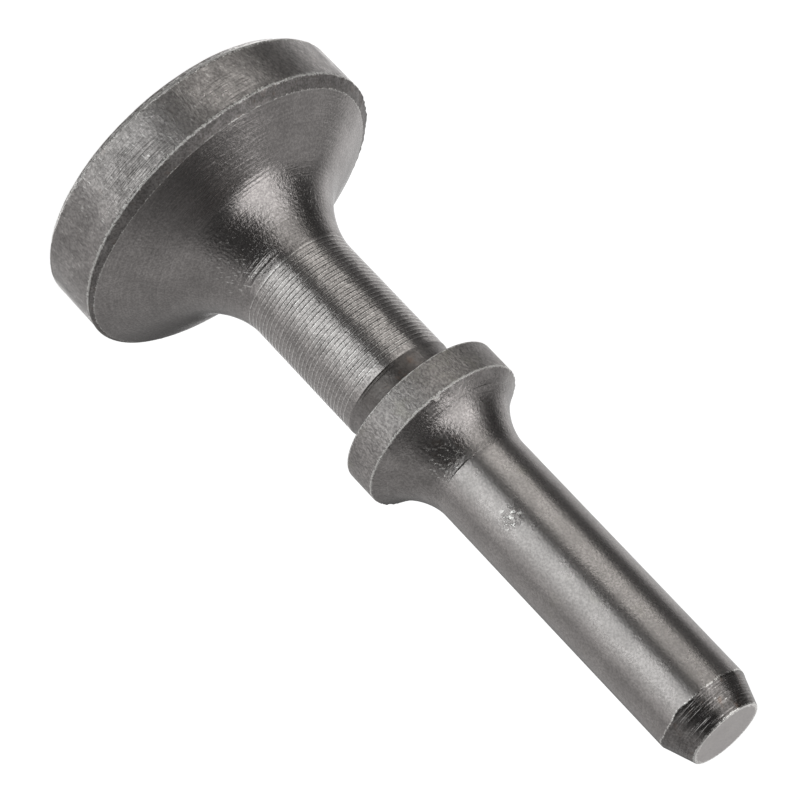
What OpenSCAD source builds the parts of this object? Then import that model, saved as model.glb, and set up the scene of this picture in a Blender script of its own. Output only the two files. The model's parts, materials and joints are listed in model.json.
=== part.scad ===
// Mushroom rivet set with a retaining collar and a round shank, turned from one steel bar.
// It stands on its working face: the origin is that face's centre, and +Z runs to the shank's end.
// Every length is stacked on the one before it, so a change moves whatever comes after.

/* [Head] */
// Diameter across the rim
head_d = 35.2; // [30:0.1:44]
// Distance from the working face to the back edge of the rim
head_h = 6.55; // [4:0.05:10]
// Size of the 45 degree chamfer around the working face
face_chamfer = 0.9; // [0.3:0.1:2]
// Width of the chamfer behind the rim, across the radius
back_chamfer_w = 1.2; // [0.6:0.1:1.6]
// Length of the chamfer behind the rim, along the axis
back_chamfer_l = 0.8; // [0.4:0.1:1.4]

/* [Flare] */
// Angle between the flare and the axis
flare_angle = 61.5; // [50:0.5:65]
// Radius of the curve that leads the flare into the neck
flare_curve_r = 9.5; // [4:0.1:11]

/* [Neck] */
// Diameter of the neck
neck_d = 12.25; // [10:0.05:15]
// Length of the neck, from the flare's curve to the relief
neck_l = 14.3; // [6:0.1:40]
// Depth of the relief in front of the collar, across the radius
relief_depth = 0.08; // [0.04:0.02:0.4]
// Length of the relief in front of the collar
relief_l = 3.2; // [1.5:0.1:6]

/* [Collar] */
// Diameter of the collar
collar_d = 18.1; // [17:0.1:22]
// Length of the collar's straight rim
collar_l = 3.6; // [2:0.1:6]
// Width of the chamfer behind the collar, across the radius
collar_chamfer_w = 1.3; // [0.6:0.1:1.6]
// Length of the chamfer behind the collar, along the axis
collar_chamfer_l = 0.95; // [0.5:0.05:1.5]
// Radius of the curve that leads the collar into the shank
collar_curve_r = 7.4; // [6.5:0.1:10]

/* [Shank] */
// Diameter of the shank, a 0.401 inch standard size
shank_d = 10.186; // [9.5:0.001:12.5]
// Length of the shank's straight part
shank_l = 30.8; // [15:0.1:50]
// Length of the chamfer at the shank's end
shank_chamfer_l = 3.3; // [1:0.1:5]
// Diameter of the flat at the shank's end
shank_end_d = 7.85; // [5:0.05:9]

/* [Hidden] */
$fn = 128;
curve_steps = 10;
dark_steel = [0.42, 0.41, 0.40];

head_r = head_d / 2;
neck_r = neck_d / 2;
relief_r = neck_r - relief_depth;
collar_r = collar_d / 2;
shank_r = shank_d / 2;

// Flare: a cone, then a concave curve that meets the neck along the axis
flare_r = head_r - back_chamfer_w;
flare_z = head_h + back_chamfer_l;
flare_curve = min(flare_curve_r, (flare_r - neck_r) / (1 - cos(flare_angle)));
flare_curve_start_r = neck_r + flare_curve * (1 - cos(flare_angle));
flare_curve_start_z = flare_z + (flare_r - flare_curve_start_r) / tan(flare_angle);

// Stations along the axis
neck_z = flare_curve_start_z + flare_curve * sin(flare_angle);
relief_z = neck_z + neck_l;
collar_z = relief_z + relief_l;
collar_back_z = collar_z + collar_l;
step_z = collar_back_z + collar_chamfer_l;
step_r = collar_r - collar_chamfer_w;
collar_curve_angle = acos(1 - (step_r - shank_r) / collar_curve_r);
shank_z = step_z + collar_curve_r * sin(collar_curve_angle);
shank_chamfer_z = shank_z + shank_l;
overall_l = shank_chamfer_z + shank_chamfer_l;

// Points of a concave arc that starts at angle a from the axis and ends along it at [r_end, z_end]
function curve_into(r_end, z_end, radius, a) = [
    for (i = [0 : curve_steps])
        let (t = a * (1 - i / curve_steps))
        [r_end + radius * (1 - cos(t)), z_end - radius * sin(t)]
];

// Half section, from the centre of the working face round to the centre of the shank's end
half_section = concat(
    [[0, 0], [head_r - face_chamfer, 0], [head_r, face_chamfer], [head_r, head_h], [flare_r, flare_z]],
    curve_into(neck_r, neck_z, flare_curve, flare_angle),
    [[neck_r, relief_z], [relief_r, relief_z], [relief_r, collar_z]],
    [[collar_r, collar_z], [collar_r, collar_back_z]],
    curve_into(shank_r, shank_z, collar_curve_r, collar_curve_angle),
    [[shank_r, shank_chamfer_z], [shank_end_d / 2, overall_l], [0, overall_l]]
);

module rivet_set() {
    color(dark_steel)
        rotate_extrude()
            polygon(half_section);
}

rivet_set();
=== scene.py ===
"""Mushroom rivet set: the turned steel tool, its worn finish, and a plain pale stage to show it on."""

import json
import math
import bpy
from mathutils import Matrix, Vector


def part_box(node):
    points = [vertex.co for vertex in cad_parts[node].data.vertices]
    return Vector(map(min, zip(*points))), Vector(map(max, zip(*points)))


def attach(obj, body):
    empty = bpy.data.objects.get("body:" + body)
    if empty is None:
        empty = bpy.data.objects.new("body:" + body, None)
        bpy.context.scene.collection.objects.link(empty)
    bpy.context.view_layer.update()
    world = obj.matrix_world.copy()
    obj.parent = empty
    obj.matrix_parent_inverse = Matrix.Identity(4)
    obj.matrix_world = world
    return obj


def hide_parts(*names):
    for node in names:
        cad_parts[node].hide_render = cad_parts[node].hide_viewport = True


bl_info = {
    "name": "Mushroom Rivet Set",
    "version": (1, 0, 0),
    "blender": (4, 5, 0),
    "location": "View3D > Sidebar > Rivet Set",
    "description": "Builds a turned mushroom rivet set with its worn finish, and a stage for it",
    "category": "Add Mesh",
}

import bmesh
import bpy
from bpy.props import FloatProperty, FloatVectorProperty, IntProperty, PointerProperty
from mathutils import Matrix, Vector, noise

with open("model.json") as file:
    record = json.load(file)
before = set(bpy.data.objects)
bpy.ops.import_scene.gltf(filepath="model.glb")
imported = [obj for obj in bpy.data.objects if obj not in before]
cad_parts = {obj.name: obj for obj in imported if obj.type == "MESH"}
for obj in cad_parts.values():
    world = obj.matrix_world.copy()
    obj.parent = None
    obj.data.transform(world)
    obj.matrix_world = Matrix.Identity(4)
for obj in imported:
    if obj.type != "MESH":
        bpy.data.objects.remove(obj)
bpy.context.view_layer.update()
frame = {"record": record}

MM = 0.001
MICROMETRE = 0.001 * MM
NODE = "rivet_set"
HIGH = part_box(NODE)[1]
MOUNTS = {mount["name"]: mount for mount in frame["record"]["mounts"]}
SHANK_RADIUS = MOUNTS["shank"]["dims"]["r_mm"] * MM
SHANK_LENGTH = MOUNTS["shank"]["dims"]["length_mm"] * MM
SHANK_START = MOUNTS["shank"]["pos_m"][2] - SHANK_LENGTH / 2
COLLAR_FRONT = MOUNTS["retainer_seat"]["pos_m"][2]


def length(name, description, millimetres, **limits):
    """A size in metres, given in millimetres."""
    return FloatProperty(
        name=name, description=description, default=millimetres * MM, precision=5,
        unit="LENGTH", subtype="DISTANCE", **limits,
    )


def colour(name, description, *shade):
    return FloatVectorProperty(
        name=name, description=description, default=shade, size=3,
        min=0.0, max=1.0, subtype="COLOR",
    )


def angle(name, description, degrees):
    return FloatProperty(
        name=name, description=description, default=math.radians(degrees), unit="ROTATION",
        subtype="ANGLE",
    )


class TurnedSizes(bpy.types.PropertyGroup):
    """Sizes of the turned bar that the frame doesn't state."""

    head_height: length("Head height", "Working face to the rim's back edge", 6.55)
    face_chamfer: length("Face chamfer", "Middle size of the chamfer round the working face", 0.9)
    back_chamfer_width: length("Back chamfer width", "Across the radius, behind the rim", 1.2)
    back_chamfer_length: length("Back chamfer length", "Along the axis, behind the rim", 0.8)
    flare_angle: angle("Flare angle", "Between the flare and the axis", 61.5)
    flare_curve: length("Flare curve", "Radius of the curve from the flare into the neck", 9.5)
    neck_diameter: length("Neck diameter", "Across the ridged neck", 12.25)
    relief_length: length("Relief length", "Plain band in front of the collar", 3.2)
    relief_depth: length("Relief depth", "How far the plain band lies under the neck", 0.08)
    collar_diameter: length("Collar diameter", "Across the collar", 18.1)
    collar_length: length("Collar length", "The collar's straight rim", 3.6)
    collar_chamfer_width: length("Collar chamfer width", "Across the radius, behind it", 1.3)
    collar_chamfer_length: length("Collar chamfer length", "Along the axis, behind it", 0.95)
    end_diameter: length("End diameter", "Across the flat at the shank's end", 7.85)


class ToolMarks(bpy.types.PropertyGroup):
    """Marks that the lathe and the work have left."""

    ridge_pitch: length("Ridge pitch", "Feed of the tool along the neck", 0.5)
    ridge_depth: length("Ridge depth", "Crest to trough of a feed ridge", 0.031)
    ridge_start: length("Ridge start", "Where the ridges begin, from the working face", 17.0)
    crest_wear: FloatProperty(
        name="Crest wear", description="How far the ridges' crests are rubbed bright", default=0.85,
        min=0.0, max=1.0, subtype="FACTOR",
    )
    burr: length("Burr", "How ragged the rim's back edge is", 0.12)
    spin_steps: IntProperty(name="Spin steps", description="Facets round the bar", default=272, min=48)


class SteelColours(bpy.types.PropertyGroup):
    """Colours of the steel and of what lies on it, and the colour of the shade painted in the corner
    before the collar.
    """

    steel: colour("Steel", "Worn dark steel", 0.475, 0.447, 0.436)
    polished: colour("Polished steel", "Steel laid bare along an edge or a scratch", 0.93, 0.91, 0.88)
    oxide: colour("Oxide", "Brown-black skin in the chamfers", 0.16, 0.135, 0.115)
    rust: colour("Rust", "Thin red-brown stain", 0.26, 0.15, 0.09)
    # Painted shade: a brown-black laid in the corner before the collar, standing in for the shade there
    corner_shade: colour("Corner shade", "Old oil and dirt in the corner before the collar", 0.06, 0.052, 0.047)
    olive: colour("Olive film", "Old oil on the shank", 0.40, 0.385, 0.33)


class StageSettings(bpy.types.PropertyGroup):
    """Floor, lights and camera."""

    floor_colour: colour("Floor", "Pale floor", 0.9, 0.9, 0.9)
    light_distance: length("Light distance", "From the bar to each softbox", 500)
    camera_distance: length("Camera distance", "From the camera to the point it aims at", 388.4)
    camera_elevation: angle("Camera elevation", "Above the floor", 22.19)
    camera_roll: angle("Camera roll", "Turn about the line of sight", 136.57)
    aim_height: length("Aim height", "Height of the point the camera aims at", 33.87)
    aim_side: length("Aim side", "How far that point lies beside the axis", 0.66)
    lens: FloatProperty(name="Lens", description="Focal length in millimetres", default=180.75)


# ---------------------------------------------------------------- shape


def stations(sizes):
    """Heights and radii of the bar's outline, stacked from the working face to the shank's end."""
    head_radius = HIGH.x
    flare_start = sizes.head_height + sizes.back_chamfer_length
    flare_radius = head_radius - sizes.back_chamfer_width
    neck_radius = sizes.neck_diameter / 2
    collar_back = COLLAR_FRONT + sizes.collar_length
    step_radius = sizes.collar_diameter / 2 - sizes.collar_chamfer_width
    step_height = collar_back + sizes.collar_chamfer_length
    return {
        "head_radius": head_radius,
        "flare_start": flare_start,
        "flare_radius": flare_radius,
        "neck_radius": neck_radius,
        "neck_corner": flare_start + (flare_radius - neck_radius) / math.tan(sizes.flare_angle),
        "relief_start": COLLAR_FRONT - sizes.relief_length,
        "relief_radius": neck_radius - sizes.relief_depth,
        "collar_radius": sizes.collar_diameter / 2,
        "collar_back": collar_back,
        "step_radius": step_radius,
        "step_height": step_height,
        "shank_end": SHANK_START + SHANK_LENGTH,
    }


class Outline:
    """Half section of the bar as a wire in the YZ plane, whose corners are rounded before it is spun."""

    def __init__(self):
        self.bm = bmesh.new()
        self.corners = []
        self.last = None

    def to(self, height, radius, round_by=0.0, segments=3):
        """A corner at this height and radius, rounded by an arc of round_by in so many segments."""
        vert = self.bm.verts.new((0.0, radius, height))
        if self.last is not None:
            self.bm.edges.new((self.last, vert))
        self.last = vert
        if round_by:
            self.corners.append((vert, round_by, segments))

    def round_corners(self):
        """Each corner is bevelled back to where its arc touches the two sides."""
        for vert, radius, segments in self.corners:
            sides = [(edge.other_vert(vert).co - vert.co) for edge in vert.link_edges]
            half_turn = (math.pi - sides[0].angle(sides[1])) / 2
            bmesh.ops.bevel(
                self.bm, geom=[vert], offset=radius * math.tan(half_turn), offset_type="OFFSET",
                affect="VERTICES", segments=segments, profile=0.5, material=-1,
                clamp_overlap=False,
            )

    def ring_at(self, height):
        """Adds a ring where the outline crosses this height."""
        bmesh.ops.bisect_plane(
            self.bm, geom=self.bm.verts[:] + self.bm.edges[:], plane_co=(0, 0, height),
            plane_no=(0, 0, 1), dist=0.002 * MM,
        )

    def radii(self):
        """Heights and radii along the finished outline, for placing marks on the surface."""
        return sorted((vert.co.z, vert.co.y) for vert in self.bm.verts)

    def spin(self, steps):
        """Spins the outline once round the axis into a closed mesh, with its faces outward."""
        bmesh.ops.spin(
            self.bm, geom=self.bm.verts[:] + self.bm.edges[:], cent=(0, 0, 0), axis=(0, 0, 1),
            angle=math.tau, steps=steps, use_merge=True,
        )
        bmesh.ops.remove_doubles(self.bm, verts=self.bm.verts, dist=0.0005 * MM)
        bmesh.ops.recalc_face_normals(self.bm, faces=self.bm.faces)
        return self.bm


def bar_outline(sizes, at):
    """Corners of the bar from the middle of the working face to the middle of the shank's end."""
    wire = Outline()
    chamfer = sizes.face_chamfer
    wire.to(0.0, 0.0)
    wire.to(0.0, at["head_radius"] - chamfer - 1.2 * MM)
    wire.to(0.0, at["head_radius"] - chamfer, 0.35 * MM, 4)
    wire.to(chamfer, at["head_radius"], 0.12 * MM)
    wire.to(chamfer + 0.5 * MM, at["head_radius"])
    wire.to(sizes.head_height - 0.4 * MM, at["head_radius"])
    wire.to(sizes.head_height, at["head_radius"], 0.20 * MM, 5)
    wire.to(at["flare_start"], at["flare_radius"], 0.5 * MM, 4)
    wire.to(at["neck_corner"], at["neck_radius"], sizes.flare_curve, 30)
    wire.to(at["relief_start"], at["neck_radius"], 0.03 * MM, 2)
    wire.to(at["relief_start"] + 0.5 * MM, at["relief_radius"], 0.3 * MM, 3)
    wire.to(COLLAR_FRONT, at["relief_radius"], 0.35 * MM, 4)
    wire.to(COLLAR_FRONT, at["collar_radius"] - 0.4 * MM)
    wire.to(COLLAR_FRONT, at["collar_radius"], 0.12 * MM)
    wire.to(COLLAR_FRONT + 0.4 * MM, at["collar_radius"])
    wire.to(at["collar_back"] - 0.4 * MM, at["collar_radius"])
    wire.to(at["collar_back"], at["collar_radius"], 0.1 * MM)
    chamfer_slope = math.atan2(sizes.collar_chamfer_width, sizes.collar_chamfer_length)
    curve_drop = at["step_radius"] - SHANK_RADIUS
    curve_radius = curve_drop / (1 - math.cos(chamfer_slope))
    step, keep_clear = 0.05 * MM, 0.985  # the curve stops just short of the step
    wire.to(at["step_height"] - step, at["step_radius"], 0.02 * MM, 2)
    wire.to(at["step_height"], at["step_radius"] - 0.2 * step, 0.02 * MM, 2)
    corner = at["step_height"] + curve_drop / math.tan(chamfer_slope)
    wire.to(corner, SHANK_RADIUS, curve_radius * keep_clear, 24)
    for share in (0.1, 0.5, 0.9):
        wire.to(SHANK_START + share * SHANK_LENGTH, SHANK_RADIUS)
    wire.to(at["shank_end"], SHANK_RADIUS, 0.25 * MM, 3)
    wire.to(HIGH.z, sizes.end_diameter / 2, 0.1 * MM)
    wire.to(HIGH.z, sizes.end_diameter / 2 - 0.5 * MM)
    wire.to(HIGH.z, 0.0)
    return wire


def smooth_step(low, high, value):
    """Rises gently from nothing at low to one at high."""
    share = min(max((value - low) / (high - low), 0.0), 1.0)
    return share * share * (3 - 2 * share)


def ease(height, middle, reach):
    """One at the middle height, falling to nothing at reach millimetres from it."""
    return 1 - smooth_step(0.0, reach * MM, abs(height - middle))


def side_angle(point):
    """Angle round the axis from the side that faces the camera, positive towards +X."""
    return math.atan2(point.x, -point.y)


def surface(bm):
    """Each point with its radius, the direction straight out from the axis, and its side angle."""
    for vert in bm.verts:
        radius, turn = math.hypot(vert.co.x, vert.co.y), side_angle(vert.co)
        outward = Vector((0.0, 0.0, 0.0))
        if radius >= 0.01 * MM:
            outward = Vector((vert.co.x / radius, vert.co.y / radius, 0.0))
        yield vert, radius, outward, turn


def ridge_end(marks, at):
    """Where the last whole feed ridge ends."""
    count = int((at["relief_start"] - marks.ridge_start) / marks.ridge_pitch)
    return marks.ridge_start + count * marks.ridge_pitch


def ring_the_ridges(wire, marks, at):
    """Cuts the rings that the feed ridges are pressed into, five to a ridge."""
    count = round((ridge_end(marks, at) - marks.ridge_start) / marks.ridge_pitch)
    for ridge in range(count):
        for share in (0.0, 0.12, 0.37, 0.63, 0.88):
            wire.ring_at(marks.ridge_start + (ridge + share) * marks.ridge_pitch)


def ring_the_edges(wire, sizes, at):
    """Cuts close rings beside each edge, so that its wear and its burr stay narrow."""
    back, front, collar = sizes.head_height, at["flare_start"], at["collar_back"]
    # Height of an edge, then how far each ring lies from it in millimetres
    for edge, beside in (
        (sizes.face_chamfer, (0.20, 0.35)),
        (back, (-0.26, -0.15, 0.06, 0.14, 0.26)),
        (front, (-0.22, -0.10, 0.05, 0.12, 0.30, 0.60)),
        (COLLAR_FRONT, (0.14, 0.26)),
        (collar, (-0.26, -0.14, 0.06, 0.14, 0.30)),
        (at["step_height"], (0.10, 0.20)),
        (at["shank_end"], (-0.45, -0.25, -0.12, 0.12, 0.25, 0.45)),
        (HIGH.z, (-0.50, -0.32, -0.22, -0.14)),
    ):
        for offset in beside:
            wire.ring_at(edge + offset * MM)


# Scored lines round the flare, the neck and the collar's back: height, depth and half width in
# millimetres, then the middle and the half length of the arc each one runs over, in degrees
SCORED_LINES = (
    (10.75, 0.010, 0.06, -28, 26),
    (11.05, 0.008, 0.05, -22, 24),
    (14.50, 0.016, 0.07, -22, 26),
    (15.90, 0.024, 0.07, 8, 28),
    (16.10, 0.014, 0.05, 10, 24),
    (16.62, 0.024, 0.08, -6, 50),
    (33.05, 0.050, 0.08, 10, 36),
    (33.32, 0.030, 0.06, 14, 28),
    (44.60, 0.016, 0.08, -22, 28),
    (45.15, 0.024, 0.08, 4, 32),
)


def ring_the_scores(wire):
    """Cuts the rings that the scored lines are pressed into."""
    for height, _, half_width, _, _ in SCORED_LINES:
        for share in (-1, 0, 1):
            wire.ring_at((height + share * half_width) * MM)


def press_scores(bm):
    """Each scored line fades out towards the ends of its arc."""
    same_height = 0.003 * MM
    for vert, radius, outward, turn in surface(bm):
        for height, depth, _, middle, spread in SCORED_LINES:
            if abs(vert.co.z - height * MM) < same_height and radius > SHANK_RADIUS / 2:
                away = abs(math.degrees(turn) - middle) / spread
                vert.co -= outward * (depth * MM * (1 - smooth_step(0.5, 1.0, away)))


def soften_run_in(wire):
    """The cone runs into the flare's curve gently: a stretch there stands a little proud."""
    middle, reach, proud, spacing = 10.3 * MM, 1.7, 0.035 * MM, 0.3 * MM
    for step in range(-5, 6):
        wire.ring_at(middle + step * spacing)
    for vert in wire.bm.verts:
        if vert.co.y > SHANK_RADIUS / 2:
            vert.co.y += proud * ease(vert.co.z, middle, reach)


def radius_at(outline, height):
    """Radius of the outline's nearest point to a height."""
    return min(outline, key=lambda point: abs(point[0] - height))[1]


def ragged(angle_round, seed, scale):
    """Smooth noise round a ring, from about -1 to 1, that meets itself."""
    place = Vector((math.cos(angle_round) * scale, math.sin(angle_round) * scale, seed))
    return noise.fractal(place, 1.0, 2.0, 4) * 1.6


def grind_face_chamfer(bm, sizes, at):
    """The face was chamfered by hand, so its chamfer is wide on one side and narrow on the other."""
    chamfer = sizes.face_chamfer
    middle_size, swing, widest = 0.80, 0.50, math.radians(-75)
    for vert, radius, outward, turn in surface(bm):
        depth, height = at["head_radius"] - radius, vert.co.z
        reach = depth + height
        if reach > 4 * chamfer or height > 2 * chamfer or radius < chamfer:
            continue
        size = middle_size + swing * math.cos(turn - widest) + 0.03 * ragged(turn, 1.7, 6)
        size = 1 + (size - 1) * (1 - smooth_step(1.5 * chamfer, 4 * chamfer, reach))
        across = 1 + (0.85 * size - 1) * (1 - smooth_step(1.5 * chamfer, 4 * chamfer, reach))
        vert.co += outward * (depth - depth * across)
        vert.co.z = height * size


def raise_rim_burr(bm, sizes, marks, at):
    """A ragged burr along the rim's back edge, pushed backward more than outward."""
    burr_reach, edge_band = 0.28, 0.3 * MM
    most_outward, backward = 0.35, 0.6
    for vert, radius, outward, turn in surface(bm):
        near = ease(vert.co.z, sizes.head_height, burr_reach)
        if near > 0 and at["head_radius"] - radius < edge_band:
            rough = marks.burr * near * ragged(turn, 4.1, 44)
            vert.co += outward * min(rough, most_outward * marks.burr)
            vert.co.z += backward * rough


def slide_flare_edge(bm, sizes, at):
    """The line between the back chamfer and the flare runs out towards the rim on one side."""
    slide_reach, most_slide, clear_of_rim = 1.1, 0.9 * MM, 0.35 * MM
    for vert, radius, outward, turn in surface(bm):
        near = ease(vert.co.z, at["flare_start"], slide_reach)
        behind = vert.co.z > sizes.head_height
        if near > 0 and behind and at["head_radius"] - radius > clear_of_rim:
            slide = most_slide * max(0.0, math.sin(turn)) ** 2 * near
            vert.co += outward * slide
            vert.co.z -= slide / math.tan(sizes.flare_angle)


def press_ridges(bm, marks, at):
    """Shallow scallops between sharp crests, a little wavy and deeper in some places than in others."""
    end = ridge_end(marks, at)
    waver, run_in_ridges = 0.035 * MM, 3
    for vert, radius, outward, turn in surface(bm):
        height = vert.co.z
        if not marks.ridge_start < height < end or radius > at["neck_radius"] + 0.5 * MM:
            continue
        share = ((height - marks.ridge_start) / marks.ridge_pitch) % 1.0
        place = Vector((math.cos(turn) * 7, math.sin(turn) * 7, height / MM * 1.3))
        depth = marks.ridge_depth * (1 + 0.7 * noise.noise(place))
        full_depth = marks.ridge_start + run_in_ridges * marks.ridge_pitch
        run_in = smooth_step(marks.ridge_start, full_depth, height)
        vert.co -= outward * (depth * 4 * share * (1 - share) * (0.4 + 0.6 * run_in))
        vert.co.z += waver * noise.noise(place * 0.6)


def nick_collar(bm, marks, at):
    """The collar's back edge is ragged and has one small nick."""
    nick_angle, nick_width = math.radians(-13.5), math.radians(1.9)
    nick_depth, nick_run = 0.34 * MM, 0.20 * MM
    reach, edge_band = 0.22, 0.3 * MM
    for vert, radius, outward, turn in surface(bm):
        near = ease(vert.co.z, at["collar_back"], reach)
        if near > 0 and at["collar_radius"] - radius < edge_band:
            nick = math.exp(-(((turn - nick_angle) / nick_width) ** 2))
            rough = 0.4 * marks.burr * ragged(turn, 9.3, 24)
            vert.co += outward * (rough - nick_depth * nick) * near
            vert.co.z += (0.5 * rough + nick_run * nick) * near


def roughen_shank_end(bm, sizes, at):
    """The end's taper starts on an uneven line and its last edge is hammered a little out of round."""
    waver, dent, edge_band = 0.15 * MM, 0.05 * MM, 0.2 * MM
    for vert, radius, outward, turn in surface(bm):
        near_start = ease(vert.co.z, at["shank_end"], 0.7)
        near_end = ease(vert.co.z, HIGH.z, 0.3)
        if near_start > 0:
            vert.co.z += waver * ragged(turn, 12.9, 2.2) * near_start
        if near_end > 0 and radius > sizes.end_diameter / 2 - edge_band:
            vert.co -= outward * dent * abs(ragged(turn, 15.5, 9)) * near_end


def wear_shape(bm, sizes, marks, at):
    """What the lathe, hand grinding and hammering have left: the bar is no longer quite round."""
    press_scores(bm)
    press_ridges(bm, marks, at)
    grind_face_chamfer(bm, sizes, at)
    raise_rim_burr(bm, sizes, marks, at)
    slide_flare_edge(bm, sizes, at)
    nick_collar(bm, marks, at)
    roughen_shank_end(bm, sizes, at)


# The neck's finish starts a little before its ridges, and the shank's a little before the true shank
NECK_RUN_UP = 0.25 * MM
SHANK_RUN_UP = 0.85 * MM


def zone_edges(sizes, marks, at):
    """Where each finish behind the working face and its chamfer ends along the bar."""
    return (
        ("rim", sizes.head_height),
        ("back_chamfer", at["flare_start"]),
        ("flare", marks.ridge_start - NECK_RUN_UP),
        ("neck", at["relief_start"] + 0.02 * MM),
        ("relief", COLLAR_FRONT + 0.05 * MM),
        ("collar", at["collar_back"]),
        ("collar_back", SHANK_START - SHANK_RUN_UP),
        ("shank", at["shank_end"]),
        ("tip", HIGH.z - 0.03 * MM),
        ("end_face", math.inf),
    )


def zone_of(face, sizes, marks, at, names):
    """The finish a face belongs to, told by its place and the way it faces before any wear."""
    middle, normal = face.calc_center_median(), face.normal
    height = middle.z
    depth = at["head_radius"] - math.hypot(middle.x, middle.y)
    if normal.z < -0.92 and height < 0.2 * MM:
        return names["working_face"]
    if depth + height < sizes.face_chamfer + 0.2 * MM and normal.z < -0.4:
        return names["face_chamfer"]
    for name, top in zone_edges(sizes, marks, at):
        if height < top:
            return names[name]
    return names["end_face"]


def wear_amount(point, at, sizes):
    """How much an edge has been rubbed bright here, from 0 to 1."""
    radius = math.hypot(point.x, point.y)
    head, collar, tip = at["head_radius"], at["collar_radius"], sizes.end_diameter / 2
    # Height and radius of the line that is rubbed, its reach in millimetres, and how strongly
    edges = (
        (sizes.face_chamfer, head, 0.30, 1.0),
        (sizes.head_height - 0.10 * MM, head, 0.25, 1.0),
        (at["flare_start"] - 0.02 * MM, at["flare_radius"], 0.14, 0.55),
        (COLLAR_FRONT + 0.05 * MM, collar, 0.20, 1.0),
        (at["collar_back"] - 0.05 * MM, collar, 0.20, 1.0),
        (at["shank_end"], SHANK_RADIUS, 0.16, 0.6),
        (HIGH.z, tip, 0.24, 1.0),
    )
    most = 0.0
    for height, edge_radius, reach, strength in edges:
        away = math.hypot(point.z - height, radius - edge_radius) / (reach * MM)
        most = max(most, strength * (1 - smooth_step(0.2, 1.0, away)))
    return most


def crest_wear(height, marks, at):
    """Feed ridges are rubbed bright along their crests."""
    if not marks.ridge_start < height < ridge_end(marks, at):
        return 0.0
    crest_width = 0.03
    share = ((height - marks.ridge_start) / marks.ridge_pitch) % 1.0
    return marks.crest_wear if min(share, 1 - share) < crest_width else 0.0


def paint_wear(bm, at, sizes, marks):
    """Stores the wear at each point, for the finishes to read."""
    layer = bm.verts.layers.float.new("edge_wear")
    for vert in bm.verts:
        vert[layer] = max(wear_amount(vert.co, at, sizes), crest_wear(vert.co.z, marks, at))


# ---------------------------------------------------------------- shader building


def put(tree, socket, value):
    """Links another node's output to a socket, or sets the socket to any other value."""
    if isinstance(value, bpy.types.NodeSocket):
        tree.links.new(value, socket)
    else:
        socket.default_value = value


def add(tree, kind, sockets=None, **settings):
    """Adds a node, makes its settings and fills its sockets."""
    made = tree.nodes.new(kind)
    for key, value in settings.items():
        setattr(made, key, value)
    for key, value in (sockets or {}).items():
        put(tree, made.inputs[key], value)
    return made


def vector_maths(tree, operation, first, second):
    made = add(tree, "ShaderNodeVectorMath", {0: first, 1: second}, operation=operation)
    return made.outputs["Value" if operation in ("DISTANCE", "DOT_PRODUCT") else 0]


def maths(tree, operation, first, second):
    return add(tree, "ShaderNodeMath", {0: first, 1: second}, operation=operation).outputs[0]


def noise_at(tree, spot, fourth, detail, rough):
    """Noise of four dimensions, where the fourth is a seed or one more length."""
    values = {"Vector": spot, "W": fourth, "Scale": 1.0, "Detail": detail, "Roughness": rough}
    return add(tree, "ShaderNodeTexNoise", values, noise_dimensions="4D").outputs["Fac"]


def mix_colours(tree, share, first, second, blend="MIX"):
    made = add(tree, "ShaderNodeMix", data_type="RGBA", blend_type=blend)
    for socket, value in (("Factor_Float", share), ("A_Color", first), ("B_Color", second)):
        put(tree, next(s for s in made.inputs if s.identifier == socket), value)
    return next(s for s in made.outputs if s.identifier == "Result_Color")


def ramp(tree, value, low, high, bottom=0.0, top=1.0):
    """Runs smoothly from bottom to top as the value goes from low to high."""
    made = add(
        tree, "ShaderNodeMapRange",
        {"Value": value, "From Min": low, "From Max": high, "To Min": bottom, "To Max": top},
        interpolation_type="SMOOTHSTEP",
    )
    return made.outputs["Result"]


def start_group(name, output, **inputs):
    """A node group that takes a place and the inputs named with their defaults. It has one output."""
    group = bpy.data.node_groups.new(name, "ShaderNodeTree")
    group.interface.new_socket("Vector", in_out="INPUT", socket_type="NodeSocketVector")
    for socket_name, default in inputs.items():
        kind = "NodeSocketFloat" if isinstance(default, float) else "NodeSocketVector"
        socket = group.interface.new_socket(socket_name, in_out="INPUT", socket_type=kind)
        socket.default_value = default
    group.interface.new_socket(output, in_out="OUTPUT", socket_type="NodeSocketFloat")
    entry = group.nodes.new("NodeGroupInput")
    leave = group.nodes.new("NodeGroupOutput")
    return group, entry.outputs, leave.inputs[output]


def use_group(tree, name, **sockets):
    made = tree.nodes.new("ShaderNodeGroup")
    made.node_tree = bpy.data.node_groups[name]
    for key, value in sockets.items():
        put(tree, made.inputs[key], value)
    return made.outputs[0]


def build_lathe_lines():
    """Fine lines round the axis, like those a tool leaves: long arcs that fade in and out."""
    group, given, result = start_group("Lathe lines", "Height", Pitch=0.1, Run=2.0, Contrast=0.5)
    place = add(group, "ShaderNodeSeparateXYZ", {0: given["Vector"]}).outputs
    flat = vector_maths(group, "MULTIPLY", given["Vector"], (1, 1, 0))
    radius = add(group, "ShaderNodeVectorMath", {0: flat}, operation="LENGTH").outputs["Value"]
    round_it = add(group, "ShaderNodeVectorMath", {0: flat}, operation="NORMALIZE").outputs[0]
    round_it = add(
        group, "ShaderNodeVectorMath", {0: round_it, "Scale": given["Run"]}, operation="SCALE"
    ).outputs[0]
    pitch = maths(group, "MULTIPLY", given["Pitch"], MM)
    along = maths(group, "DIVIDE", place["Z"], pitch)
    across = maths(group, "DIVIDE", radius, pitch)
    lift = add(group, "ShaderNodeCombineXYZ", {"Z": along}).outputs[0]
    spot = vector_maths(group, "ADD", round_it, lift)
    lines = noise_at(group, spot, across, 2.0, 0.6)
    half = maths(group, "MULTIPLY", given["Contrast"], 0.5)
    low = maths(group, "SUBTRACT", 0.5, half)
    high = maths(group, "ADD", 0.5, half)
    group.links.new(ramp(group, lines, low, high), result)


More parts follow.
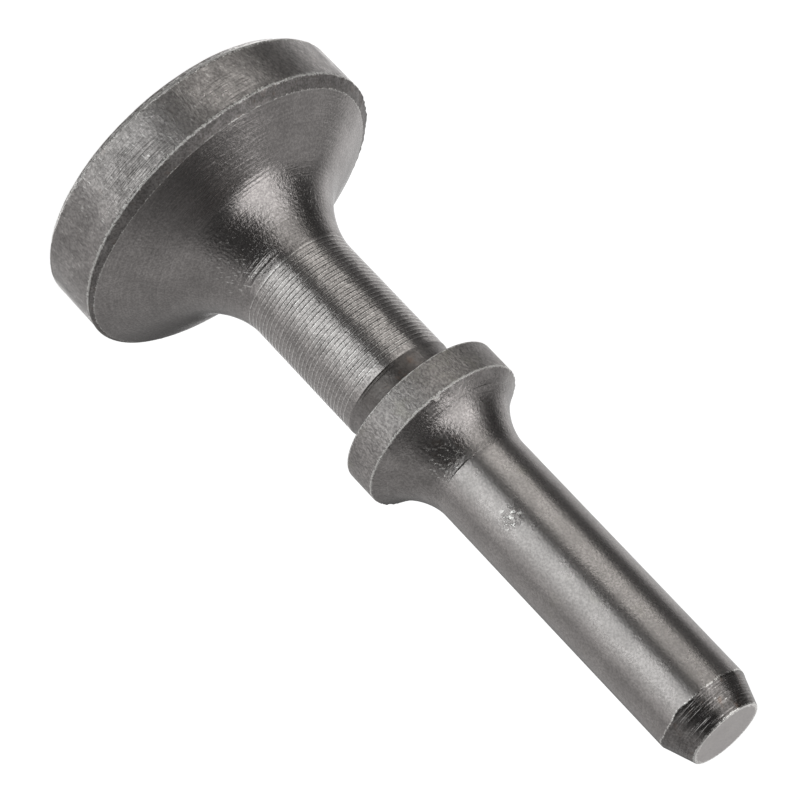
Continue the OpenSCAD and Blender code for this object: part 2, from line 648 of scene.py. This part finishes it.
def build_grain():
    """Grain of a given size in millimetres, drawn out along the axis by Stretch."""
    group, given, result = start_group(
        "Steel grain", "Fac", Size=0.3, Stretch=1.0, Low=0.35, High=0.65, Seed=0.0
    )
    size = maths(group, "MULTIPLY", given["Size"], MM)
    per_metre = maths(group, "DIVIDE", 1.0, size)
    drawn = maths(group, "DIVIDE", per_metre, given["Stretch"])
    scale = add(group, "ShaderNodeCombineXYZ", {"X": per_metre, "Y": per_metre, "Z": drawn}).outputs[0]
    spot = vector_maths(group, "MULTIPLY", given["Vector"], scale)
    grain = noise_at(group, spot, given["Seed"], 3.0, 0.62)
    group.links.new(ramp(group, grain, given["Low"], given["High"]), result)


def build_scratches():
    """Short hairline scratches that lean by Lean radians from the axis."""
    group, given, result = start_group(
        "Hairline scratches", "Mask", Lean=0.6, Width=0.06, Length=1.2, Amount=0.3, Seed=0.0
    )
    turned = add(
        group, "ShaderNodeVectorRotate",
        {"Vector": given["Vector"], "Axis": (0, 1, 0), "Angle": given["Lean"]},
        rotation_type="AXIS_ANGLE",
    ).outputs[0]
    fine = maths(group, "DIVIDE", 1.0, maths(group, "MULTIPLY", given["Width"], 2.5 * MM))
    long = maths(group, "DIVIDE", 1.0, maths(group, "MULTIPLY", given["Length"], MM))
    scale = add(group, "ShaderNodeCombineXYZ", {"X": fine, "Y": fine, "Z": long}).outputs[0]
    spot = vector_maths(group, "MULTIPLY", turned, scale)
    hair = noise_at(group, spot, given["Seed"], 1.0, 0.5)
    edge = maths(group, "SUBTRACT", 0.78, maths(group, "MULTIPLY", given["Amount"], 0.22))
    group.links.new(ramp(group, hair, edge, maths(group, "ADD", edge, 0.06)), result)


def build_edge_wear():
    """Breaks up the painted wear, so that an edge is bright in chips and flecks."""
    group, given, result = start_group("Edge wear", "Mask", Wear=0.0, Chip=0.25, Reach=0.2)
    chips = use_group(
        group, "Steel grain", Vector=given["Vector"], Size=given["Chip"], Low=0.36, High=0.64, Seed=3.0
    )
    cut = maths(group, "MULTIPLY", maths(group, "SUBTRACT", 1.0, given["Reach"]), chips)
    left = maths(group, "SUBTRACT", given["Wear"], cut)
    group.links.new(ramp(group, left, 0.02, 0.3), result)


def build_round_patch():
    """One inside a round patch on the bar, fading to nothing over its rim."""
    group, given, result = start_group("Round patch", "Mask", Middle=(0.0, 0.0, 0.0), Reach=3.0)
    away = vector_maths(group, "DISTANCE", given["Vector"], given["Middle"])
    share = maths(group, "DIVIDE", away, maths(group, "MULTIPLY", given["Reach"], MM))
    group.links.new(ramp(group, share, 0.45, 1.0, 1.0, 0.0), result)


def build_groups():
    build_lathe_lines()
    build_grain()
    build_scratches()
    build_edge_wear()
    build_round_patch()


def rgba(value):
    return (*value, 1.0)


class SteelFinish:
    """One stretch of the bar's steel, built up in layers from the shared groups."""

    def __init__(self, colours, outline, name, tone, rough):
        self.material = bpy.data.materials.new("steel_" + name)
        self.material.use_nodes = True
        self.tree = self.material.node_tree
        self.colours = colours
        self.outline = outline
        self.place = add(self.tree, "ShaderNodeTexCoord").outputs["Object"]
        self.base = rgba([part * tone for part in colours.steel])
        self.rough = rough
        self.height = 0.0

    def sample(self, size, seed, stretch, low, high):
        return use_group(
            self.tree, "Steel grain",
            Vector=self.place, Size=size, Stretch=stretch, Seed=seed, Low=low, High=high,
        )

    def scaled(self, value, share):
        return maths(self.tree, "MULTIPLY", value, share)

    def darken(self, mask, share):
        dark = 1 - share
        self.base = mix_colours(self.tree, mask, self.base, (dark, dark, dark, 1.0), "MULTIPLY")

    def cover(self, mask, share, colour):
        self.base = mix_colours(self.tree, self.scaled(mask, share), self.base, rgba(colour))

    def raise_by(self, mask, depth, operation="ADD"):
        self.height = maths(self.tree, operation, self.height, self.scaled(mask, depth))

    def on_patch(self, mask, patch):
        """Keeps a mask to a round patch, given as height, angle from the camera's side and reach."""
        if patch is None:
            return mask
        height, turn, reach = patch
        radius = radius_at(self.outline, height * MM)
        around = direction(turn, 0.0) * radius
        middle = (around.x, around.y, height * MM)
        inside = use_group(self.tree, "Round patch", Vector=self.place, Middle=middle, Reach=reach)
        return maths(self.tree, "MULTIPLY", mask, inside)

    def mottle(self, size, share, seed, stretch=1.0, matt=0.0):
        """Darker blotches, a little more matt than the rest."""
        blotch = self.sample(size, seed, stretch, 0.38, 0.62)
        self.darken(blotch, share)
        if matt:
            self.rough = maths(self.tree, "ADD", self.rough, self.scaled(blotch, matt))

    def stain_and_shade(self, colour, share, size, seed, cover, patch=None):
        """A film or oxide that covers some of the steel; with the corner shade colour it lays painted
        shade instead. cover is how much of the surface it takes.
        """
        low = 0.78 - 0.56 * cover
        spot = self.on_patch(self.sample(size, seed, 1.3, low, low + 0.2), patch)
        self.cover(spot, share, getattr(self.colours, colour))

    def specks(self, size, share, seed, cover, stretch=1.0):
        """Small bright flecks of bare steel."""
        low = 0.78 - 0.4 * cover
        spot = self.sample(size, seed, stretch, low, low + 0.1)
        self.cover(spot, share, self.colours.polished)

    def grain(self, size, depth, seed, stretch=1.0, patch=None):
        """Relief of a given depth in micrometres."""
        spot = self.on_patch(self.sample(size, seed, stretch, 0.2, 0.8), patch)
        self.raise_by(spot, depth)

    def lines(self, pitch, depth, run=3.0, shade=0.0, contrast=0.5, patch=None):
        """Tool lines round the axis, with their depth in micrometres."""
        line = use_group(
            self.tree, "Lathe lines", Vector=self.place, Pitch=pitch, Run=run, Contrast=contrast
        )
        line = self.on_patch(line, patch)
        self.raise_by(line, depth)
        if shade:
            self.darken(line, shade)

    def scratches(self, lean, width, long, amount, share, seed, depth=0.0, patch=None):
        """Bright hairline scratches that lean from the axis by an angle in degrees."""
        hairs = use_group(
            self.tree, "Hairline scratches", Vector=self.place, Lean=math.radians(lean),
            Width=width, Length=long, Amount=amount, Seed=seed,
        )
        hairs = self.on_patch(hairs, patch)
        self.cover(hairs, share, self.colours.polished)
        if depth:
            self.raise_by(hairs, depth, "SUBTRACT")

    def bare_edges(self, chip, reach, depth=6.0, share=1.0):
        """Edges rubbed bright, chip by chip."""
        painted = add(self.tree, "ShaderNodeAttribute", attribute_name="edge_wear").outputs["Fac"]
        bare = use_group(
            self.tree, "Edge wear", Vector=self.place, Wear=painted, Chip=chip, Reach=reach
        )
        self.cover(bare, share, self.colours.polished)
        dent = maths(self.tree, "MULTIPLY", painted, self.sample(0.7 * chip, 99.0, 1.0, 0.3, 0.7))
        self.raise_by(dent, depth)

    def finish(self):
        shader = self.tree.nodes["Principled BSDF"]
        bump = add(
            self.tree, "ShaderNodeBump",
            {"Height": self.height, "Strength": 1.0, "Distance": MICROMETRE},
        )
        for key, value in (
            ("Base Color", self.base), ("Roughness", self.rough),
            ("Normal", bump.outputs["Normal"]), ("Metallic", 1.0),
        ):
            put(self.tree, shader.inputs[key], value)
        return self.material


FINISHES = {}


def stretch(name, tone, rough):
    """Keeps the layers that follow as the finish of one stretch of the bar."""

    def keep(layers):
        FINISHES[name] = (layers, tone, rough)
        return layers

    return keep


@stretch("working_face", tone=0.95, rough=0.27)
def finish_working_face(steel):
    steel.mottle(size=2.6, share=0.22, seed=1.0, matt=0.06)
    steel.mottle(size=0.4, share=0.15, seed=2.0)
    steel.stain_and_shade("rust", share=0.35, size=2.2, seed=3.0, cover=0.25)
    steel.grain(size=0.25, depth=1.5, seed=4.0)
    steel.lines(pitch=0.3, depth=6.0, run=2.0, shade=0.06)
    steel.scratches(lean=90, width=0.06, long=1.4, amount=0.12, share=0.35, seed=5.0)
    steel.bare_edges(chip=0.3, reach=0.3)


@stretch("face_chamfer", tone=0.8, rough=0.36)
def finish_face_chamfer(steel):
    steel.mottle(size=1.4, share=0.3, seed=6.0, matt=0.08)
    steel.stain_and_shade("oxide", share=0.8, size=1.0, seed=7.0, cover=0.7)
    steel.stain_and_shade("rust", share=0.35, size=0.7, seed=8.0, cover=0.35)
    steel.grain(size=0.2, depth=9.0, seed=9.0)
    steel.bare_edges(chip=0.3, reach=0.3)


@stretch("rim", tone=1.22, rough=0.27)
def finish_rim(steel):
    steel.mottle(size=2.2, share=0.20, seed=10.0, stretch=1.6, matt=0.07)
    steel.mottle(size=0.8, share=0.16, seed=11.0, stretch=1.8, matt=0.04)
    steel.mottle(size=0.24, share=0.36, seed=12.0, stretch=1.4)
    steel.stain_and_shade("rust", share=0.18, size=2.0, seed=13.0, cover=0.35)
    steel.specks(size=0.34, share=0.6, seed=14.0, stretch=1.3, cover=0.3)
    steel.grain(size=0.24, depth=16.0, seed=15.0, stretch=2.2)
    steel.lines(pitch=0.16, depth=5.0, run=2.0)
    steel.lines(pitch=0.22, depth=18.0, run=4.0, contrast=0.3, shade=0.12, patch=(6.2, 12.0, 5.5))
    steel.lines(pitch=0.22, depth=14.0, run=4.0, contrast=0.3, shade=0.10, patch=(6.2, -26.0, 4.5))
    steel.scratches(lean=8, width=0.07, long=0.7, amount=0.55, share=0.6, seed=16.0)
    steel.bare_edges(chip=0.22, reach=0.0, depth=46.0)


@stretch("back_chamfer", tone=0.88, rough=0.42)
def finish_back_chamfer(steel):
    steel.mottle(size=1.2, share=0.25, seed=20.0, matt=0.06)
    steel.mottle(size=0.22, share=0.42, seed=21.0)
    steel.stain_and_shade("rust", share=0.3, size=0.8, seed=22.0, cover=0.4)
    steel.stain_and_shade("oxide", share=0.35, size=1.4, seed=23.0, cover=0.4)
    steel.grain(size=0.22, depth=18.0, seed=24.0)
    steel.lines(pitch=0.2, depth=4.0)
    steel.bare_edges(chip=0.2, reach=-0.1, depth=24.0)


@stretch("flare", tone=1.12, rough=0.215)
def finish_flare(steel):
    steel.mottle(size=3.0, share=0.12, seed=30.0, matt=0.04)
    steel.mottle(size=0.24, share=0.26, seed=31.0, stretch=0.8)
    steel.specks(size=0.32, share=0.3, seed=32.0, cover=0.15)
    steel.grain(size=0.34, depth=12.0, seed=33.0)
    steel.lines(pitch=0.24, depth=9.0, run=3.0, shade=0.12, contrast=0.34)
    steel.scratches(
        lean=38, width=0.07, long=0.8, amount=0.7, share=0.6, seed=34.0, depth=8.0,
        patch=(14.6, 25.0, 5.0),
    )
    steel.scratches(
        lean=-25, width=0.07, long=0.6, amount=0.6, share=0.6, seed=35.0, depth=8.0,
        patch=(12.6, -46.0, 4.0),
    )
    steel.stain_and_shade("rust", share=0.25, size=1.4, seed=36.0, cover=0.45, patch=(14.0, 6.0, 3.5))
    steel.grain(size=0.3, depth=22.0, seed=37.0, patch=(14.6, -38.0, 6.5))
    steel.grain(size=0.3, depth=22.0, seed=38.0, patch=(15.0, 20.0, 6.0))
    steel.bare_edges(chip=0.15, reach=0.5, share=0.5)


@stretch("neck", tone=1.2, rough=0.24)
def finish_neck(steel):
    steel.mottle(size=1.8, share=0.14, seed=40.0, matt=0.03)
    steel.mottle(size=0.20, share=0.38, seed=41.0)
    steel.specks(size=0.28, share=0.75, seed=42.0, cover=0.22)
    steel.grain(size=0.3, depth=10.0, seed=43.0)
    steel.bare_edges(chip=0.2, reach=0.3)
    steel.lines(pitch=0.14, depth=3.0, run=5.0)


@stretch("relief", tone=1.0, rough=0.31)
def finish_relief(steel):
    steel.mottle(size=1.6, share=0.2, seed=50.0, matt=0.05)
    steel.mottle(size=0.24, share=0.3, seed=51.0)
    # Painted shade: a dark patch over the camera's side of the recess before the collar
    steel.stain_and_shade("corner_shade", share=0.72, size=1.6, seed=52.0, cover=0.9, patch=(34.3, 1.0, 5.2))
    steel.stain_and_shade("rust", share=0.3, size=0.8, seed=53.0, cover=0.5, patch=(35.4, -14.0, 3.5))
    steel.grain(size=0.28, depth=18.0, seed=54.0)
    steel.lines(pitch=0.2, depth=5.0, run=3.0, shade=0.08)


@stretch("collar", tone=1.20, rough=0.345)
def finish_collar(steel):
    steel.mottle(size=1.8, share=0.16, seed=60.0, stretch=1.4, matt=0.05)
    steel.mottle(size=0.22, share=0.42, seed=61.0, stretch=1.5)
    steel.stain_and_shade("olive", share=0.35, size=1.8, seed=62.0, cover=0.5)
    steel.specks(size=0.3, share=0.5, seed=63.0, stretch=1.5, cover=0.25)
    steel.grain(size=0.42, depth=20.0, seed=64.0, stretch=1.6)
    steel.grain(size=0.24, depth=42.0, seed=65.0, stretch=1.6)
    steel.bare_edges(chip=0.18, reach=0.12, depth=30.0)


@stretch("collar_back", tone=1.1, rough=0.24)
def finish_collar_back(steel):
    steel.mottle(size=1.6, share=0.16, seed=70.0, matt=0.05)
    steel.mottle(size=0.22, share=0.3, seed=71.0)
    steel.specks(size=0.3, share=0.4, seed=72.0, cover=0.2)
    steel.stain_and_shade("rust", share=0.3, size=1.0, seed=73.0, cover=0.5, patch=(43.0, 10.0, 2.6))
    steel.grain(size=0.30, depth=21.0, seed=74.0)
    steel.lines(pitch=0.24, depth=6.0, run=2.5, shade=0.06)
    steel.scratches(
        lean=50, width=0.1, long=0.5, amount=0.9, share=0.6, seed=75.0, depth=14.0,
        patch=(43.6, 18.0, 2.8),
    )
    steel.bare_edges(chip=0.18, reach=0.12, depth=26.0)


@stretch("shank", tone=1.09, rough=0.265)
def finish_shank(steel):
    steel.mottle(size=2.6, share=0.10, seed=80.0, stretch=1.6, matt=0.03)
    steel.mottle(size=0.7, share=0.07, seed=81.0)
    steel.mottle(size=0.22, share=0.25, seed=82.0)
    steel.specks(size=0.3, share=0.25, seed=83.0, cover=0.15)
    steel.stain_and_shade("olive", share=0.3, size=2.4, seed=84.0, cover=0.4)
    steel.grain(size=0.26, depth=10.0, seed=85.0)
    steel.grain(size=0.45, depth=50.0, seed=86.0, patch=(52.4, 8.0, 1.5))
    steel.scratches(
        lean=70, width=0.14, long=0.5, amount=1.1, share=0.9, seed=87.0, depth=24.0,
        patch=(52.3, 8.0, 1.5),
    )
    steel.grain(size=0.3, depth=22.0, seed=88.0, patch=(52.3, -67.0, 1.1))
    steel.bare_edges(chip=0.3, reach=0.2)


@stretch("tip", tone=0.9, rough=0.24)
def finish_tip(steel):
    steel.mottle(size=1.0, share=0.25, seed=90.0, matt=0.06)
    steel.mottle(size=0.22, share=0.36, seed=91.0)
    steel.stain_and_shade("rust", share=0.4, size=0.9, seed=92.0, cover=0.4)
    steel.stain_and_shade("oxide", share=0.4, size=1.2, seed=93.0, cover=0.4)
    steel.grain(size=0.3, depth=8.0, seed=94.0)
    steel.lines(pitch=0.24, depth=34.0, run=0.9, shade=0.25, contrast=0.26)
    steel.scratches(
        lean=72, width=0.08, long=0.9, amount=0.5, share=0.7, seed=95.0, patch=(79.0, -24.0, 3.0),
    )
    steel.bare_edges(chip=0.3, reach=0.2, depth=26.0)


@stretch("end_face", tone=1.12, rough=0.34)
def finish_end_face(steel):
    steel.mottle(size=2.0, share=0.08, seed=100.0)
    steel.mottle(size=0.24, share=0.14, seed=101.0)
    steel.grain(size=0.3, depth=1.0, seed=102.0)
    steel.bare_edges(chip=0.2, reach=0.25)


# ---------------------------------------------------------------- stage


def direction(azimuth, elevation):
    """Unit vector. Azimuth 0 is the camera's side (-Y), positive towards +X, and both in degrees."""
    turn, lift = math.radians(azimuth), math.radians(elevation)
    return Vector((math.sin(turn) * math.cos(lift), -math.cos(turn) * math.cos(lift), math.sin(lift)))


# Softboxes: azimuth, elevation, width and height as seen from the bar in degrees, and brightness
SOFTBOXES = {
    "key": (-56, 50, 44, 46, 1.08),
    "key_mid": (-47, 12, 46, 26, 0.59),
    "key_foot": (-52, -22, 42, 24, 0.74),
    "low": (19, -19, 39, 34, 1.0),
    "low_mid": (47, -19, 18, 34, 0.60),
    "low_side": (65, -17, 18, 36, 0.27),
}
# The lamps aren't all of one colour: two are a little warm and two a little cool
TINTS = {
    "key_mid": (1.0, 0.995, 0.97),
    "key_foot": (1.0, 0.995, 0.965),
    "low": (0.965, 1.0, 1.005),
    "low_mid": (0.975, 1.0, 1.0),
}
LAMP_POWER = 4.0  # watts per square metre at a brightness of one


def add_softbox(name, azimuth, elevation, width, height, brightness, centre, distance):
    lamp = bpy.data.lights.new("softbox_" + name, "AREA")
    lamp.shape = "RECTANGLE"
    lamp.size = 2 * distance * math.tan(math.radians(width / 2))
    lamp.size_y = 2 * distance * math.tan(math.radians(height / 2))
    lamp.color = TINTS.get(name, (1.0, 1.0, 1.0))
    lamp.energy = brightness * LAMP_POWER * lamp.size * lamp.size_y
    box = bpy.data.objects.new("softbox_" + name, lamp)
    back = direction(azimuth, elevation)
    box.location = centre + back * distance
    box.rotation_mode = "QUATERNION"
    box.rotation_quaternion = back.to_track_quat("Z", "Y")
    box.visible_camera = False
    box.visible_diffuse = elevation > 0
    bpy.context.scene.collection.objects.link(box)


def wall(tree, facing, azimuth, elevation, low, high, brightness):
    """A soft patch of light on the room's wall, in one direction."""
    towards = tuple(direction(azimuth, elevation))
    near = vector_maths(tree, "DOT_PRODUCT", facing, towards)
    return ramp(tree, near, low, high, 0.0, brightness)


# Soft patches of light on the room's walls: azimuth and elevation in degrees, how near a direction
# must point to be touched and to be fully lit (as cosines), and brightness
ROOM_PATCHES = (
    (108, 5, 0.35, 0.75, 0.29),
    (0, -90, 0.0, 0.4, 0.06),
    (-150, -16, 0.78, 0.97, 0.61),
    (178, -42, 0.895, 0.97, 1.60),
    (-150, 18, 0.80, 0.95, 0.11),
    (125, -26, 0.80, 0.98, 0.10),
    (-174, 22, 0.92, 0.985, 0.62),
    (-140, 50, 0.87, 0.96, 0.30),
    (125, 60, 0.85, 0.97, 0.10),
)
ROOM_GLOW = 0.045


def build_room(scene):
    """Dim room with a grey wall on the right and a paler one behind. The camera sees plain white."""
    world = bpy.data.worlds.new("studio_room")
    world.use_nodes = True
    scene.world = world
    tree = world.node_tree
    facing = add(tree, "ShaderNodeTexCoord").outputs["Generated"]
    light = ROOM_GLOW
    for patch in ROOM_PATCHES:
        light = maths(tree, "ADD", light, wall(tree, facing, *patch))
    tree.nodes["Background"].inputs["Color"].default_value = (1.0, 1.0, 1.0, 1.0)
    behind = add(tree, "ShaderNodeLightPath").outputs["Is Camera Ray"]
    shown = maths(tree, "MAXIMUM", light, behind)
    tree.links.new(shown, tree.nodes["Background"].inputs["Strength"])


def build_floor(stage):
    """A wide pale disc that glows a little and throws no reflection on the steel."""
    bm = bmesh.new()
    bmesh.ops.create_circle(bm, cap_ends=True, segments=96, radius=6.0)
    mesh = bpy.data.meshes.new("floor")
    bm.to_mesh(mesh)
    bm.free()
    material = bpy.data.materials.new("pale_floor")
    material.use_nodes = True
    shader = material.node_tree.nodes["Principled BSDF"]
    half_tone = [0.5 * part for part in stage.floor_colour]
    shader.inputs["Base Color"].default_value = rgba(half_tone)
    shader.inputs["Roughness"].default_value = 1.0
    shader.inputs["Specular IOR Level"].default_value = 0.0
    shader.inputs["Emission Color"].default_value = rgba(stage.floor_colour)
    shader.inputs["Emission Strength"].default_value = 1.05
    mesh.materials.append(material)
    floor = bpy.data.objects.new("floor", mesh)
    floor.visible_glossy = False
    floor.visible_shadow = False
    bpy.context.scene.collection.objects.link(floor)


def build_camera(stage):
    """A long lens, turned about its line of sight so that the bar lies across the frame."""
    camera = bpy.data.cameras.new("camera")
    camera.lens = stage.lens
    camera.sensor_width = 36.0
    camera.clip_start, camera.clip_end = 0.01, 20.0
    eye = bpy.data.objects.new("camera", camera)
    back = direction(0.0, math.degrees(stage.camera_elevation))
    aim = Vector((stage.aim_side, 0.0, stage.aim_height))
    level = back.to_track_quat("Z", "Y")
    roll = Matrix.Rotation(stage.camera_roll, 3, "Z").to_quaternion()
    eye.rotation_mode = "QUATERNION"
    eye.rotation_quaternion = level @ roll
    eye.location = aim + back * stage.camera_distance
    bpy.context.scene.collection.objects.link(eye)
    bpy.context.scene.camera = eye


# ---------------------------------------------------------------- operators


class RIVETSET_OT_stage(bpy.types.Operator):
    """Lay the pale floor, hang the softboxes and place the camera"""

    bl_idname = "rivetset.stage"
    bl_label = "Build Stage"

    def execute(self, context):
        stage = context.scene.rivetset_stage
        build_camera(stage)
        build_floor(stage)
        build_room(context.scene)
        centre = Vector((0.0, 0.0, HIGH.z / 2))
        for name, values in SOFTBOXES.items():
            add_softbox(name, *values, centre, stage.light_distance)
        context.scene.view_settings.view_transform = "Standard"
        return {"FINISHED"}


class RIVETSET_OT_turned_bar(bpy.types.Operator):
    """Turn the rivet set from one bar: head, flare, neck, collar and shank"""

    bl_idname = "rivetset.turned_bar"
    bl_label = "Turn the Bar"

    def execute(self, context):
        sizes, marks = context.scene.rivetset_sizes, context.scene.rivetset_marks
        at = stations(sizes)
        wire = bar_outline(sizes, at)
        wire.round_corners()
        ring_the_edges(wire, sizes, at)
        ring_the_ridges(wire, marks, at)
        soften_run_in(wire)
        ring_the_scores(wire)
        outline = wire.radii()
        bm = wire.spin(marks.spin_steps)
        names = {name: place for place, name in enumerate(FINISHES)}
        for face in bm.faces:
            face.smooth = True
            face.material_index = zone_of(face, sizes, marks, at, names)
        paint_wear(bm, at, sizes, marks)
        wear_shape(bm, sizes, marks, at)
        bm.normal_update()
        mesh = bpy.data.meshes.new("turned_rivet_set")
        bm.to_mesh(mesh)
        bm.free()
        build_groups()
        for name, (layers, tone, rough) in FINISHES.items():
            steel = SteelFinish(context.scene.rivetset_colours, outline, name, tone, rough)
            layers(steel)
            mesh.materials.append(steel.finish())
        bar = bpy.data.objects.new("turned_rivet_set", mesh)
        context.scene.collection.objects.link(bar)
        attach(bar, "root")
        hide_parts(NODE)
        return {"FINISHED"}


class RIVETSET_PT_sidebar(bpy.types.Panel):
    """Sizes, marks, colours and the two operators"""

    bl_idname = "RIVETSET_PT_sidebar"
    bl_label = "Rivet Set"
    bl_space_type = "VIEW_3D"
    bl_region_type = "UI"
    bl_category = "Rivet Set"

    def draw(self, context):
        for group in (
            context.scene.rivetset_sizes,
            context.scene.rivetset_marks,
            context.scene.rivetset_colours,
            context.scene.rivetset_stage,
        ):
            box = self.layout.box()
            for key in group.bl_rna.properties.keys():
                if key not in ("rna_type", "name"):
                    box.prop(group, key)
        self.layout.operator(RIVETSET_OT_stage.bl_idname)
        self.layout.operator(RIVETSET_OT_turned_bar.bl_idname)


GROUPS = {
    "rivetset_sizes": TurnedSizes,
    "rivetset_marks": ToolMarks,
    "rivetset_colours": SteelColours,
    "rivetset_stage": StageSettings,
}
CLASSES = (*GROUPS.values(), RIVETSET_OT_stage, RIVETSET_OT_turned_bar, RIVETSET_PT_sidebar)


def register():
    for one in CLASSES:
        bpy.utils.register_class(one)
    for key, one in GROUPS.items():
        setattr(bpy.types.Scene, key, PointerProperty(type=one))


def unregister():
    for key in GROUPS:
        delattr(bpy.types.Scene, key)
    for one in reversed(CLASSES):
        bpy.utils.unregister_class(one)


def main():
    register()
    bpy.ops.rivetset.stage()
    bpy.ops.rivetset.turned_bar()


if __name__ == "__main__":
    main()
